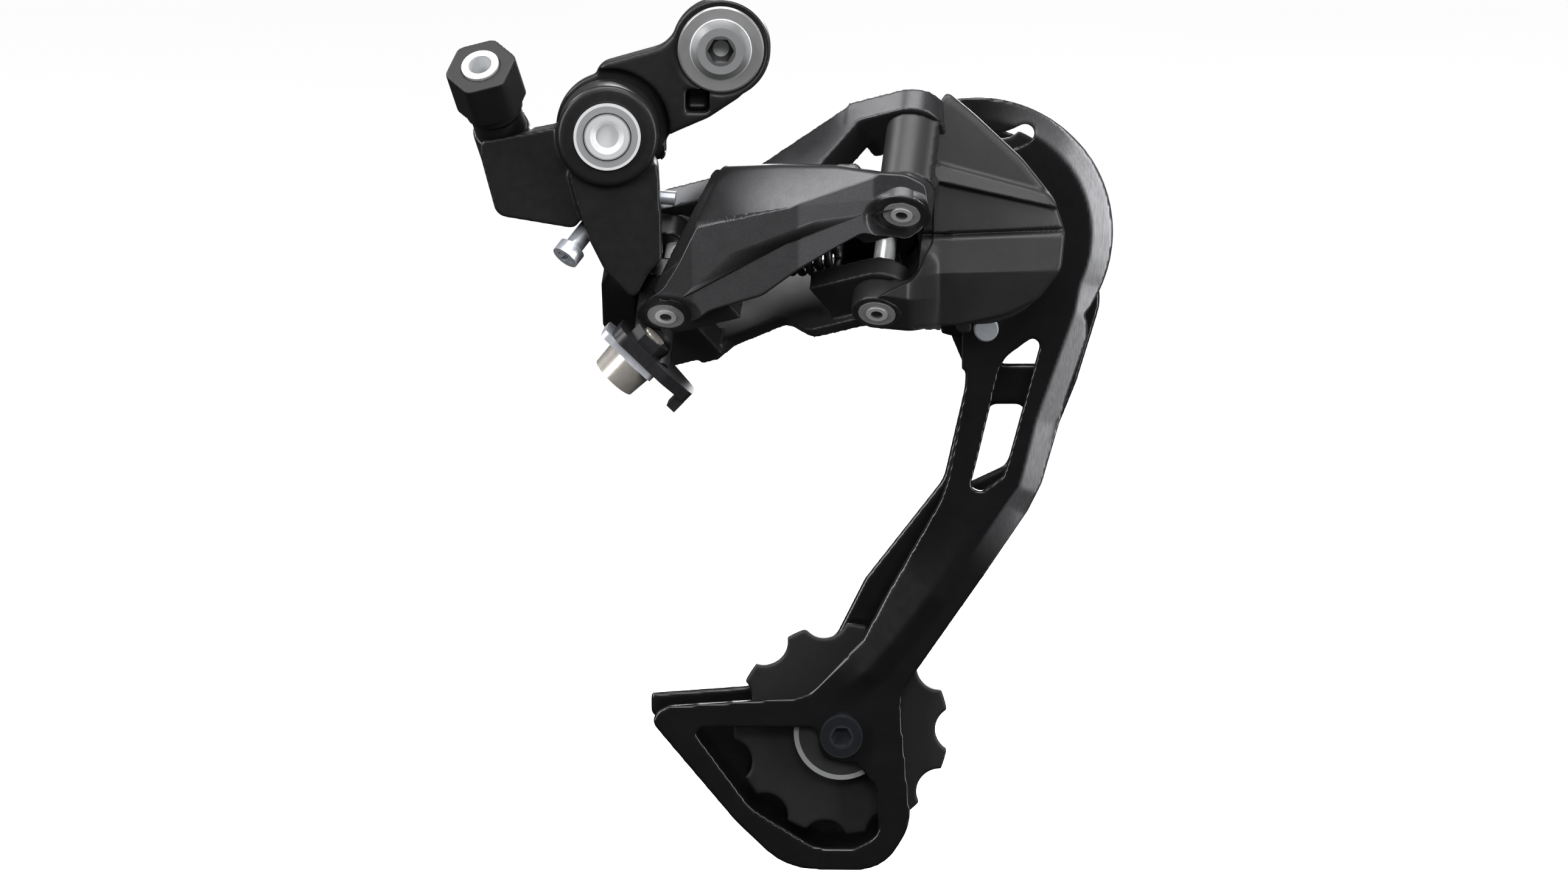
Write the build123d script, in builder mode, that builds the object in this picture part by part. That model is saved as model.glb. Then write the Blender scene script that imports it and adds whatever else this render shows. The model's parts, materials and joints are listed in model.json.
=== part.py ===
"""Rear bicycle derailleur, long cage, hung from a frame hanger by a short bracket link.

Frame: millimetres. +X towards the front of the bicycle, +Y inboard towards the wheel, +Z up.
The origin is on the hanger bolt's axis, at the face that seats on the hanger.
The parallelogram's pins lean down and outboard; link_plane is the plane square to them.
"""
import math
import os

from build123d import *

os.makedirs("parts", exist_ok=True)

# ---- driving dimensions ----
running_clearance = 0.05          # radial, a pin or axle in its bore
face_gap = 0.3                    # between faces that slide past each other
hole_gap = 0.15                   # radial, a fixed screw or axle in a plain hole

bracket_thickness = 9.0           # the link that hangs the derailleur
b_axle_x = -23.9                  # second pivot, behind and below the hanger bolt
b_axle_z = -16.9
hanger_thread_r = 5.0             # M10 x 1 thread
hanger_thread_length = 8.5
hanger_flange_r = 9.2
bracket_boss_r = 10.6
b_axle_r = 5.0
b_ring_r = 10.8
b_ring_depth = 14.5
link_recess = 3.2                 # the link is thinner round the second pivot
stop_plate_thickness = 1.6

pin_lean = Vector(0.115, 0.685, 0.72).normalized()    # up and inboard along every link pin
b1_foot = Vector(-11.8, -14.0, -56.7)                 # lower end of the outer link's rear pin
link_length = 56.4
link_rest_deg = -29.7             # from link_plane's X, outboard is negative
pin_spacing = 21.5                # between the two pins on one knuckle
pin_spacing_deg = 100.3
pin_r = 2.3
pin_bush_r = 4.0                  # bright flanged bushes around each pin
boss_r = 5.2
arm_r = 6.4

p_axis_x = 55.0                   # cage pivot
p_axis_z = -41.5
p_housing_r = 17.2
p_axle_r = 5.0
clip_room_r = 7.6                 # round the axle's outboard end
stop_pin_x = 57.1                 # pin in the cage that stops against the housing
stop_pin_z = -61.7
stop_pin_r = 2.7
tension_x = 26.0                  # tension pulley centre
tension_z = -151.8
pulley_y = 12.8                   # the chain's line through the cage
pulley_teeth = 11
pulley_tip_r = 23.6
pulley_thickness = 2.2
plate_outer_y = 6.0               # outboard face of the outer cage plate
plate_thickness = 2.0
plate_pivot_r = 29.7              # of the outer plate round the cage pivot
plate_inner_y = 17.6              # outboard face of the inner cage plate
plate_inner_thickness = 1.8
pulley_bolt_r = 2.5
pulley_bush_r = 4.0
pulley_hub_r = 8.4
shield_thickness = 0.9
shield_r = 10.4
pulley_head_r = 4.6
pulley_head_height = 2.4
axle_flange_r = 7.4               # inboard end of the cage pivot's axle
axle_flange_thickness = 1.2

adjuster_foot = Vector(-46.9, -12.0, -16.2)           # where the cable adjuster's collar stands
adjuster_axis = Vector(-0.187, -0.654, 0.734).normalized()
adjuster_collar_r = 5.5
adjuster_collar_height = 5.0
adjuster_travel_in = 0.8                              # one turn of the thread
knob_r = 7.9
knob_height = 13.4
housing_bore_r = 2.55                                 # cable housing with its end cap
cable_r = 0.75
adjuster_thread_r = 2.5

b_screw_head = Vector(-31.6, -16.0, -41.7)
b_screw_axis = Vector(0.565, 0.47, 0.68).normalized()
b_screw_length = 17.8
screw_r = 2.0
limit_screw_w = 24.8                                  # height of both limit screws in link_plane
limit_screw_v = 9.0                                   # either side of the rear outer pin
limit_screw_r = 1.5
limit_screw_head_u = -15.2
limit_screw_tip_u = -0.9
pin_seat_gap = 0.03                                   # a pin or bush held fast in its bore

# ---- derived planes and places ----
link_x = (Vector(1, 0, 0) - pin_lean * pin_lean.X).normalized()
link_plane = Plane(origin=b1_foot, x_dir=link_x, z_dir=pin_lean)


def polar(length, degrees):
    """A point in link_plane at a length and an angle from the rear outer pin."""
    a = math.radians(degrees)
    return Vector(length * math.cos(a), length * math.sin(a), 0)


b1_at = Vector(0, 0, 0)
p1_at = polar(link_length, link_rest_deg)
b2_at = polar(pin_spacing, pin_spacing_deg)
p2_at = p1_at + b2_at


def across_pins(w):
    """The plane square to the pins, w up from the rear outer pin's lower end."""
    return link_plane.offset(w)


link_dir = link_plane.from_local_coords(p1_at) - b1_foot
link_dir = link_dir.normalized()
link_outward = link_dir.cross(pin_lean)
link_face = Plane(origin=b1_foot, x_dir=link_dir, z_dir=link_outward)
inner_face = Plane(origin=link_plane.from_local_coords(b2_at), x_dir=link_dir, z_dir=link_outward)


adjuster_plane = Plane(origin=adjuster_foot, x_dir=(1, 0, 0.255), z_dir=adjuster_axis)
b_screw_plane = Plane(origin=b_screw_head, z_dir=b_screw_axis)


def side(y):
    """The plane Y = y with local X forward and local Y up; extruding goes outboard."""
    return Plane.XZ.offset(-y)


def xy(point):
    return (point.X, point.Y)


def save(piece, name):
    piece.part.label = name
    export_step(piece.part, f"parts/{name}.step")


def rounded(points, radii):
    """A closed outline of straight runs joined by arcs, one radius for each corner."""
    FilletPolyline(*points, radius=radii, close=True)


b_axle_y_front = -bracket_thickness - face_gap - b_ring_depth

# ---- bracket link: clamped to the hanger by its bolt ----
with BuildPart() as bracket_link:
    with BuildSketch(side(0)):
        Circle(bracket_boss_r)
        with Locations((b_axle_x, b_axle_z)):
            Circle(b_ring_r + 0.6)
        with BuildLine():
            rounded(
                [(-8.2, 5.6), (-12.0, 0.6), (-27.0, -3.6), (-26, -24), (-11.6, -24.0),
                 (-11.9, -18.6), (-2.6, -14.6), (5.6, -9.2), (2, 0)],
                [3, 6, 4, 4, 2, 3, 2, 3, 2],
            )
        make_face()
    extrude(amount=bracket_thickness)
    with BuildSketch(side(-bracket_thickness + link_recess)):
        with Locations((b_axle_x, b_axle_z)):
            Circle(b_ring_r + 2)
    extrude(amount=4, mode=Mode.SUBTRACT)
    with BuildSketch(side(-2.5)):
        with Locations((-5.0, -11.0)):
            Rectangle(5.0, 5.0)
    extrude(amount=10, mode=Mode.SUBTRACT)
    with BuildSketch(side(1)):
        Circle(hanger_thread_r + hole_gap)
        with Locations((b_axle_x, b_axle_z)):
            Circle(b_axle_r + hole_gap)
    extrude(amount=bracket_thickness + 2, mode=Mode.SUBTRACT)
    with BuildSketch(side(-bracket_thickness + 0.8)):
        Circle(hanger_flange_r + 0.4)
    extrude(amount=2, mode=Mode.SUBTRACT)
    with BuildSketch(side(0)):
        Circle(hanger_thread_r + 1.3)
    extrude(amount=1.6, mode=Mode.SUBTRACT)
    # stop block that rests against the hanger's tab
    with BuildSketch(side(3.2)):
        with Locations((-6.6, -12.4)):
            Rectangle(5.4, 5.0)
    extrude(amount=3.2)
save(bracket_link, "bracket_link")
bracket_seat_y = -bracket_thickness + 0.8

# ---- hanger bolt, with a washer under its head and a clip behind the link ----
bolt_head_y = bracket_seat_y - 1.0
with BuildPart() as hanger_washer:
    with BuildSketch(side(bracket_seat_y)):
        Circle(hanger_flange_r)
        Circle(hanger_thread_r + hole_gap, mode=Mode.SUBTRACT)
    extrude(amount=1.0)
    chamfer(hanger_washer.faces().sort_by(Axis.Y)[0].edges().sort_by(SortBy.LENGTH)[-1], 0.4)
save(hanger_washer, "hanger_washer")

with BuildPart() as hanger_bolt:
    with BuildSketch(side(hanger_thread_length)):
        Circle(hanger_thread_r)
    extrude(amount=hanger_thread_length - bolt_head_y)
    with BuildSketch(side(bolt_head_y)):
        Circle(6.6)
    extrude(amount=3.4, taper=26)
    with BuildSketch(side(bolt_head_y - 3.4)):
        RegularPolygon(radius=2.5, side_count=6, major_radius=False)
    extrude(amount=-6.5, mode=Mode.SUBTRACT)
    chamfer(hanger_bolt.faces().sort_by(Axis.Y)[-1].edges(), 0.6)
    # groove for the clip that keeps the bolt in the link
    with BuildSketch(side(-0.3)):
        Circle(hanger_thread_r + 1)
        Circle(hanger_thread_r - 0.5, mode=Mode.SUBTRACT)
    extrude(amount=1.0, mode=Mode.SUBTRACT)
save(hanger_bolt, "hanger_bolt")

with BuildPart() as bolt_clip:
    with BuildSketch(side(-0.4)):
        Circle(hanger_thread_r + 0.9)
        Circle(hanger_thread_r - 0.4, mode=Mode.SUBTRACT)
        with Locations((0, -hanger_thread_r)):
            Rectangle(3.5, 4, mode=Mode.SUBTRACT)
    extrude(amount=0.8)
save(bolt_clip, "bolt_clip")

# ---- second pivot: axle pressed in the link, knuckle turns on it ----
axle_head_y = b_axle_y_front - face_gap
with BuildPart() as b_axle:
    with BuildSketch(side(-0.4)):
        with Locations((b_axle_x, b_axle_z)):
            Circle(b_axle_r)
    extrude(amount=-0.4 - axle_head_y)
    with BuildSketch(side(axle_head_y)):
        with Locations((b_axle_x, b_axle_z)):
            Circle(4.9)
    extrude(amount=1.2)
    with BuildSketch(side(axle_head_y - 1.2)):
        with Locations((b_axle_x, b_axle_z)):
            Circle(3.6)
    extrude(amount=-1.4, taper=40, mode=Mode.SUBTRACT)
save(b_axle, "b_axle")

with BuildPart() as b_axle_cap:
    with BuildSketch(side(axle_head_y)):
        with Locations((b_axle_x, b_axle_z)):
            Circle(7.1)
            Circle(b_axle_r + hole_gap, mode=Mode.SUBTRACT)
    extrude(amount=0.9)
save(b_axle_cap, "b_axle_cap")

with BuildPart() as stop_plate:
    with BuildSketch(side(-bracket_thickness + link_recess)):
        with Locations((b_axle_x, b_axle_z)):
            Circle(9.4)
    extrude(amount=stop_plate_thickness)
    # lug that the B-tension screw's tip pushes against
    with BuildSketch(side(-bracket_thickness + link_recess)):
        with BuildLine():
            rounded([(-25, -20), (-24.4, -29.0), (-19.6, -30.7), (-17.0, -30.0), (-16.5, -20)],
                    [1, 1, 1, 1, 1])
        make_face()
    extrude(amount=2 * stop_plate_thickness)
    with BuildSketch(b_screw_plane.offset(b_screw_length + face_gap)):
        Circle(screw_r + 1.5)
    extrude(amount=-b_screw_length, mode=Mode.SUBTRACT)
    with BuildSketch(side(0)):
        with Locations((b_axle_x, b_axle_z)):
            Circle(b_axle_r + hole_gap)
    extrude(amount=bracket_thickness, mode=Mode.SUBTRACT)
save(stop_plate, "stop_plate")

# ---- B-knuckle: turns on the second pivot, holds the rear link pins and the cable adjuster ----
knuckle_back_y = -bracket_thickness - face_gap
b_bush_r = 6.6
b_lobes = ((6.8, 12.0), (18.0, 23.7))                 # heights of the two lobes on each pin
boss_height = (11.3, 26.7)                            # of the rear inner pin's boss
core_height = (5.3, 27.5)
with BuildPart() as b_knuckle:
    with BuildSketch(side(knuckle_back_y)):
        with Locations((b_axle_x, b_axle_z)):
            Circle(b_ring_r)
    extrude(amount=b_ring_depth)
    chamfer(b_knuckle.faces().sort_by(Axis.Y)[0].edges(), 0.7)
    with BuildSketch(side(-10.0)):
        with BuildLine():
            rounded(
                [(-32.6, -24.0), (-30.6, -31.5), (-27.7, -39.7), (-24.7, -45.7), (-18.4, -52.3),
                 (-15.2, -46.4), (-12.4, -43.4), (-12.8, -32.8), (-13.4, -22.0)],
                [2, 3, 4, 4, 1.5, 3, 1.2, 6, 2],
            )
        make_face()
    extrude(amount=11.6)
    with BuildSketch(side(-9.6)):
        with BuildLine():
            rounded(
                [(-51.2, -18.6), (-50.8, -22.4), (-47.6, -34.4), (-31.0, -37.2), (-26.0, -30.0),
                 (-30.0, -19.0), (-34.3, -15.4), (-41.5, -16.8)],
                [1.5, 3, 3, 2, 2, 2, 2, 2],
            )
        make_face()
    extrude(amount=9.2)
    with BuildSketch(adjuster_plane):
        Circle(adjuster_collar_r + 0.6)
    extrude(amount=-9.0)
    # core square to the link pins, open in front for the links and the spring
    with BuildSketch(across_pins(core_height[0])):
        with BuildLine():
            rounded(
                [(-11.4, -11.0), (-14.6, -2.0), (-14.6, 13.0), (-11.0, 25.0), (-6.9, 25.0),
                 (-6.9, -11.0)],
                [1, 3, 4, 2, 2, 1],
            )
        make_face()
    extrude(amount=core_height[1] - core_height[0])
    for low, high in b_lobes:
        with BuildSketch(across_pins(low)):
            with BuildLine():
                rounded([(-10, -boss_r), (0, -boss_r), (boss_r, 0), (0, boss_r), (-10, boss_r)],
                        [0, 3.5, 4, 3.5, 0])
            make_face()
        extrude(amount=high - low)
    with BuildSketch(across_pins(boss_height[0])):
        with Locations(xy(b2_at)):
            Circle(boss_r)
        with Locations(((b2_at.X - 6.9) / 2 - 1, b2_at.Y)):
            Rectangle(8, 2 * boss_r - 1.6)
    extrude(amount=boss_height[1] - boss_height[0])
    # cuts: arms of the inner link, pin bores, axle bore, adjuster thread, screws
    for low, high in ((core_height[0] - 1, boss_height[0]), (boss_height[1], core_height[1] + 1)):
        with BuildSketch(across_pins(low)):
            with Locations(xy(b2_at)):
                Circle(arm_r + 1)
        extrude(amount=high - low, mode=Mode.SUBTRACT)
    for low, high in ((-12, b_lobes[0][0]), (b_lobes[1][1], 36)):
        with BuildSketch(across_pins(low)):
            Circle(arm_r + 1)
        extrude(amount=high - low, mode=Mode.SUBTRACT)
    with BuildSketch(side(12)):
        with Locations((b_axle_x, b_axle_z)):
            Circle(15.2)
    extrude(amount=12 - knuckle_back_y - 0.3, mode=Mode.SUBTRACT)
    with BuildSketch(across_pins(-5)):
        with Locations(xy(b1_at), xy(b2_at)):
            Circle(pin_r + pin_seat_gap)
    extrude(amount=50, mode=Mode.SUBTRACT)
    for v in (-limit_screw_v, limit_screw_v):
        with BuildSketch(Plane(link_plane.from_local_coords(Vector(-20, v, limit_screw_w)),
                               x_dir=pin_lean, z_dir=link_x)):
            Circle(limit_screw_r + hole_gap)
        extrude(amount=30, mode=Mode.SUBTRACT)
    with BuildSketch(side(0)):
        with Locations((b_axle_x, b_axle_z)):
            Circle(b_bush_r)
    extrude(amount=40, mode=Mode.SUBTRACT)
    with BuildSketch(adjuster_plane.offset(1)):
        Circle(adjuster_thread_r + hole_gap)
    extrude(amount=-14, mode=Mode.SUBTRACT)
    with BuildSketch(adjuster_plane):
        Circle(adjuster_collar_r + face_gap)
    extrude(amount=12, mode=Mode.SUBTRACT)
    with BuildSketch(b_screw_plane.offset(1.5)):
        Circle(screw_r + hole_gap)
    extrude(amount=30, mode=Mode.SUBTRACT)
    with BuildSketch(b_screw_plane.offset(-4)):
        Circle(3.6)
    extrude(amount=7.5, mode=Mode.SUBTRACT)
save(b_knuckle, "b_knuckle")

# ---- bush and rings of the second pivot ----
with BuildPart() as b_bush:
    with BuildSketch(side(knuckle_back_y - 0.1)):
        with Locations((b_axle_x, b_axle_z)):
            Circle(b_bush_r - pin_seat_gap)
            Circle(b_axle_r + running_clearance, mode=Mode.SUBTRACT)
    extrude(amount=b_ring_depth - 1.2)
save(b_bush, "b_bush")


def link_pin(name, at, low, high):
    """A pin square to link_plane, with its ends drilled for riveting."""
    with BuildPart() as pin:
        with BuildSketch(across_pins(low)):
            with Locations(xy(at)):
                Circle(pin_r)
        extrude(amount=high - low)
        for end in (low, high - 1.2):
            with BuildSketch(across_pins(end)):
                with Locations(xy(at)):
                    Circle(1.25)
            extrude(amount=1.2, mode=Mode.SUBTRACT)
    save(pin, name)


# ---- pins: heights in link_plane of the parts stacked on each ----
outer_b_arms = ((0.0, 6.5), (24.0, 30.0))
outer_p_arms = ((12.0, 18.7), (35.3, 41.0))
inner_b_arms = ((5.3, 11.0), (27.0, 33.0))
inner_p_arms = ((6.8, 11.5), (21.0, 25.7))
p1_boss = (19.0, 35.0)
p2_lobes = ((1.0, 6.5), (26.0, 31.0))
bush_proud = 0.2
link_pin("link_pin_b1", b1_at, outer_b_arms[0][0] - bush_proud, outer_b_arms[1][1] + bush_proud)
link_pin("link_pin_b2", b2_at, inner_b_arms[0][0] - bush_proud, inner_b_arms[1][1] + bush_proud)
link_pin("link_pin_p1", p1_at, outer_p_arms[0][0] - bush_proud, outer_p_arms[1][1] + bush_proud)
link_pin("link_pin_p2", p2_at, p2_lobes[0][0] - bush_proud, p2_lobes[1][1] + bush_proud)


def bushes(name, places):
    """Flanged bushes, one for each (point, low, high), pressed in an arm round a pin."""
    with BuildPart() as ring:
        for at, low, high in places:
            with BuildSketch(across_pins(low)):
                with Locations(xy(at)):
                    Circle(pin_bush_r - pin_seat_gap)
                    Circle(pin_r + running_clearance, mode=Mode.SUBTRACT)
            extrude(amount=high - low)
    save(ring, name)


bushes("outer_link_bushes", [(b1_at, *arm) for arm in outer_b_arms]
       + [(p1_at, *arm) for arm in outer_p_arms])
bushes("inner_link_bushes", [(b2_at, *arm) for arm in inner_b_arms])
bushes("p_knuckle_bushes", [(p2_at, *lobe) for lobe in p2_lobes])

# ---- screws of the B-knuckle ----
with BuildPart() as b_screw:
    with BuildSketch(b_screw_plane):
        Circle(screw_r)
    extrude(amount=b_screw_length)
    with BuildSketch(b_screw_plane.offset(-2.8)):
        Circle(3.0)
    extrude(amount=2.8)
    with BuildSketch(b_screw_plane.offset(-2.8)):
        Rectangle(3.6, 0.9)
        Rectangle(0.9, 3.6)
    extrude(amount=1.6, mode=Mode.SUBTRACT)
save(b_screw, "b_screw")


def limit_screw(name, v):
    """A cross-head screw along link_plane's X, whose tip stops the outer link's arm."""
    head = Plane(link_plane.from_local_coords(Vector(limit_screw_head_u, v, limit_screw_w)),
                 x_dir=pin_lean, z_dir=link_x)
    with BuildPart() as screw:
        with BuildSketch(head):
            Circle(limit_screw_r)
        extrude(amount=limit_screw_tip_u - limit_screw_head_u)
        with BuildSketch(head):
            Circle(2.2)
        extrude(amount=-2.2)
        with BuildSketch(head.offset(-2.2)):
            Rectangle(3.0, 0.8)
            Rectangle(0.8, 3.0)
        extrude(amount=1.2, mode=Mode.SUBTRACT)
    save(screw, name)


limit_screw("limit_screw_high", -limit_screw_v)
limit_screw("limit_screw_low", limit_screw_v)

# ---- cable adjuster: collar, turning knob with its thread, and the housing's ferrule ----
knob_low = adjuster_collar_height + adjuster_travel_in + face_gap
knob_high = knob_low + knob_height
ferrule_r = 4.0
ferrule_depth = 8.0
with BuildPart() as adjuster_collar:
    with BuildSketch(adjuster_plane):
        Circle(adjuster_collar_r)
        Circle(adjuster_thread_r + hole_gap, mode=Mode.SUBTRACT)
    extrude(amount=adjuster_collar_height)
save(adjuster_collar, "adjuster_collar")

with BuildPart() as adjuster_knob:
    with BuildSketch(adjuster_plane.offset(knob_low + 2.4)):
        with BuildLine():
            rounded([(knob_r * math.cos(k * math.pi / 3), knob_r * math.sin(k * math.pi / 3))
                     for k in range(6)], [2.2] * 6)
        make_face()
    extrude(amount=knob_height - 2.4)
    with BuildSketch(adjuster_plane.offset(knob_low)):
        Circle(6.2)
    extrude(amount=2.4)
    with BuildSketch(adjuster_plane.offset(-8)):
        Circle(adjuster_thread_r)
    extrude(amount=knob_low + 8)
    with BuildSketch(adjuster_plane.offset(-8)):
        Circle(cable_r + 0.4)
    extrude(amount=knob_high + 8, mode=Mode.SUBTRACT)
    with BuildSketch(adjuster_plane.offset(knob_high - ferrule_depth - 0.1)):
        Circle(ferrule_r + running_clearance)
    extrude(amount=20, mode=Mode.SUBTRACT)
save(adjuster_knob, "adjuster_knob")

with BuildPart() as cable_ferrule:
    with BuildSketch(adjuster_plane.offset(knob_high - ferrule_depth)):
        Circle(ferrule_r)
    extrude(amount=ferrule_depth + 0.5)
    with BuildSketch(adjuster_plane.offset(knob_high - ferrule_depth + 1.0)):
        Circle(housing_bore_r)
    extrude(amount=20, mode=Mode.SUBTRACT)
    with BuildSketch(adjuster_plane):
        Circle(cable_r + 0.4)
    extrude(amount=40, mode=Mode.SUBTRACT)
save(cable_ferrule, "cable_ferrule")

# ---- outer link: two plates, with an arm round each pin above and below the knuckles ----
link_plate_low = 5.3                                  # from the pins' line, outboard
link_plate_high = 8.8


def arm(at, low, high, towards, reach):
    """A rounded bar round a pin at a point, reaching along a direction in link_plane."""
    middle = at + polar(reach / 2, towards)
    with BuildSketch(across_pins(low)) as outline:
        with Locations(xy(at)):
            Circle(arm_r)
        with Locations(xy(middle)):
            Rectangle(reach, 2 * arm_r, rotation=towards)
    extrude(outline.sketch, amount=high - low)


def bore(at, radius):
    with BuildSketch(across_pins(-5)) as hole:
        with Locations(xy(at)):
            Circle(radius)
    extrude(hole.sketch, amount=60, mode=Mode.SUBTRACT)


with BuildPart() as outer_link:
    for low, high in outer_b_arms:
        arm(b1_at, low, high, link_rest_deg, 15)
    for low, high in outer_p_arms:
        arm(p1_at, low, high, link_rest_deg + 180, 13)
    # front plate, outboard of the pins
    with BuildSketch(link_face.offset(link_plate_low)):
        with BuildLine():
            rounded([(1.5, 0), (7.9, 17.2), (12.8, 30.0), (49.6, 21.6), (50.4, 12.0), (47.0, 8.2),
                     (36.0, 4.7), (22.4, -3.1), (10, -3.0)], [1, 0, 1, 1.5, 2, 6, 8, 8, 5])
        make_face()
    extrude(amount=link_plate_high - link_plate_low)
    # upper plate, rising from the rear arm to the arm on top of the front knuckle
    with BuildSketch(link_face.offset(-1.0)):
        with BuildLine():
            rounded([(7.6, 24.2), (7.6, 29.8), (22.0, 29.8), (44.5, 41.0), (51.5, 41.0), (51.5, 35.3),
                     (46.4, 35.3), (36.5, 24.2)], [0, 0, 3, 4, 0.5, 0.5, 2, 1])
        make_face()
    extrude(amount=link_plate_low + 2.0)
    # lower front arm's web to the front plate
    with BuildSketch(link_face.offset(-4.0)):
        with BuildLine():
            rounded([(36, 12), (36, 18.7), (48.5, 18.7), (48.5, 12)], [1, 1, 1, 1])
        make_face()
    extrude(amount=link_plate_low + 5)
    for at in (b1_at, p1_at):
        bore(at, pin_bush_r)
save(outer_link, "outer_link")

# ---- inner link: a plate inboard of the pins, with a pair of arms at each end ----
inner_plate_low = -7.8
inner_plate_high = -4.8
with BuildPart() as inner_link:
    for low, high in inner_b_arms:
        arm(b2_at, low, high, link_rest_deg, 14)
    for low, high in inner_p_arms:
        arm(p2_at, low, high, link_rest_deg + 180, 14)
    with BuildSketch(inner_face.offset(inner_plate_low)):
        with BuildLine():
            rounded([(7.5, 5.3), (7.5, 33.0), (16.0, 33.0), (32.0, 24.0), (50.0, 24.0), (50.0, 5.0),
                     (36.0, 5.0), (29.0, 10.5), (16.0, 8.0), (12.0, 5.3)],
                    [1, 1, 3, 5, 1, 1, 5, 4, 2, 2])
        make_face()
    extrude(amount=inner_plate_high - inner_plate_low)
    bore(b2_at, pin_bush_r)
    bore(p2_at, pin_r + pin_seat_gap)
save(inner_link, "inner_link")

# ---- P-knuckle: rides on the front pins, houses the cage pivot and its spring ----
p_back_y = plate_outer_y - face_gap
p_front_y = -12.0
p_wall = 2.0
p_bush_r = 6.4


def pin_bosses(mode):
    """The boss between the outer link's front arms and the lobes round the inner link's."""
    front = [(p1_at.X - 1.5, p1_at.Y - 5.4), (p1_at.X + 9, p1_at.Y - 3.0),
             (p1_at.X + 14, p1_at.Y + 8.0), (p1_at.X + 1.5, p1_at.Y + 5.4)]
    back = [(p2_at.X, p2_at.Y - boss_r), (p2_at.X + 14, p2_at.Y - 7),
            (p2_at.X + 14, p2_at.Y + 4), (p2_at.X, p2_at.Y + boss_r)]
    slabs = [(p1_at, front, *p1_boss)] + [(p2_at, back, *lobe) for lobe in p2_lobes]
    for at, corners, low, high in slabs:
        with BuildSketch(across_pins(low)) as slab:
            with Locations(xy(at)):
                Circle(boss_r + 0.4)
            with BuildLine():
                Polyline(*corners, close=True)
            make_face()
        extrude(slab.sketch, amount=high - low, mode=mode)
    with BuildSketch(across_pins(p2_lobes[0][0])) as bridge:
        with BuildLine():
            Polyline((p2_at.X + 8, p2_at.Y - 8), (p2_at.X + 14, p2_at.Y - 10),
                     (p2_at.X + 14, p2_at.Y + 4), (p2_at.X + 8, p2_at.Y + 3), close=True)
        make_face()
    extrude(bridge.sketch, amount=p2_lobes[1][1] - p2_lobes[0][0], mode=mode)


with BuildPart() as p_knuckle:
    with BuildSketch(side(p_back_y)):
        with Locations((p_axis_x, p_axis_z)):
            Circle(p_housing_r)
    extrude(amount=p_back_y - p_front_y)
    with BuildSketch(side(-1)):
        with BuildLine():
            rounded([(45.8, -13.5), (54.6, -15.5), (64.0, -24.5), (71.0, -33.0), (73.5, -41.5),
                     (67.0, -53.5), (59.0, -57.5), (45.0, -58.6), (45.0, -41.0)],
                    [1, 4, 8, 8, 10, 8, 8, 3, 6])
        make_face()
    extrude(amount=-1 - p_front_y)
    pin_bosses(Mode.ADD)
    # lug that the cage's stop pin rests against
    with BuildSketch(side(p_back_y)):
        with BuildLine():
            rounded([(50.4, -56.0), (50.6, -62.6), (54.0, -62.6), (54.0, -56.0)], [0.5, 1, 0.5, 0.5])
        make_face()
    extrude(amount=3.4)
    # room for the links' arms
    for at, low, high in ((p1_at, -2, p1_boss[0]), (p1_at, p1_boss[1], 50),
                          (p2_at, p2_lobes[0][1], p2_lobes[1][0])):
        with BuildSketch(across_pins(low)):
            with Locations(xy(at)):
                Circle(arm_r + 1)
        extrude(amount=high - low, mode=Mode.SUBTRACT)
    bore(p1_at, pin_r + pin_seat_gap)
    bore(p2_at, pin_bush_r)
    # spring chamber, open towards the cage, and the axle's bore in its floor
    with BuildSketch(side(p_back_y + 1)):
        with Locations((p_axis_x, p_axis_z)):
            Circle(p_housing_r - p_wall)
            Circle(p_bush_r + 1.8, mode=Mode.SUBTRACT)
    extrude(amount=11.0, mode=Mode.SUBTRACT)
    with BuildSketch(side(p_back_y + 1)):
        with Locations((p_axis_x, p_axis_z)):
            Circle(p_bush_r)
    extrude(amount=p_back_y - p_front_y + 2, mode=Mode.SUBTRACT)
    with BuildSketch(side(p_front_y)):
        with Locations((p_axis_x, p_axis_z)):
            Circle(clip_room_r)
    extrude(amount=30, mode=Mode.SUBTRACT)
save(p_knuckle, "p_knuckle")

# ---- front cover of the P-knuckle ----
cover_steps = ((p_front_y, 2.6, 0.0), (p_front_y - 2.6, 2.4, 3.0))    # face, depth, inset
with BuildPart() as p_knuckle_cover:
    for y, depth, inset in cover_steps:
        with BuildSketch(side(y)):
            with BuildLine():
                Polyline((46.5, -10.5), (54.1, -13.5), (64.3, -22.5), (71.6, -31.6), (74.2, -40.0),
                         (72.4, -47.0), (67.7, -53.3), (60.9, -57.2), (50.7, -58.9), (43.0, -58.8),
                         (43.2, -48.0), (45.4, -40.1), (45.4, -29.8), close=True)
            make_face()
            offset(amount=-inset)
        extrude(amount=depth)
    with BuildSketch(across_pins(-12)):
        with Locations(xy(p1_at)):
            Circle(arm_r + 1)
    extrude(amount=70, mode=Mode.SUBTRACT)
    with BuildSketch(across_pins(p2_lobes[0][1])):
        with Locations(xy(p2_at)):
            Circle(arm_r + 1.6)
    extrude(amount=70, mode=Mode.SUBTRACT)
    with BuildSketch(side(p_front_y)):
        with Locations((p_axis_x, p_axis_z)):
            Circle(clip_room_r)
    extrude(amount=2.4, mode=Mode.SUBTRACT)
    pin_bosses(Mode.SUBTRACT)
save(p_knuckle_cover, "p_knuckle_cover")

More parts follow.
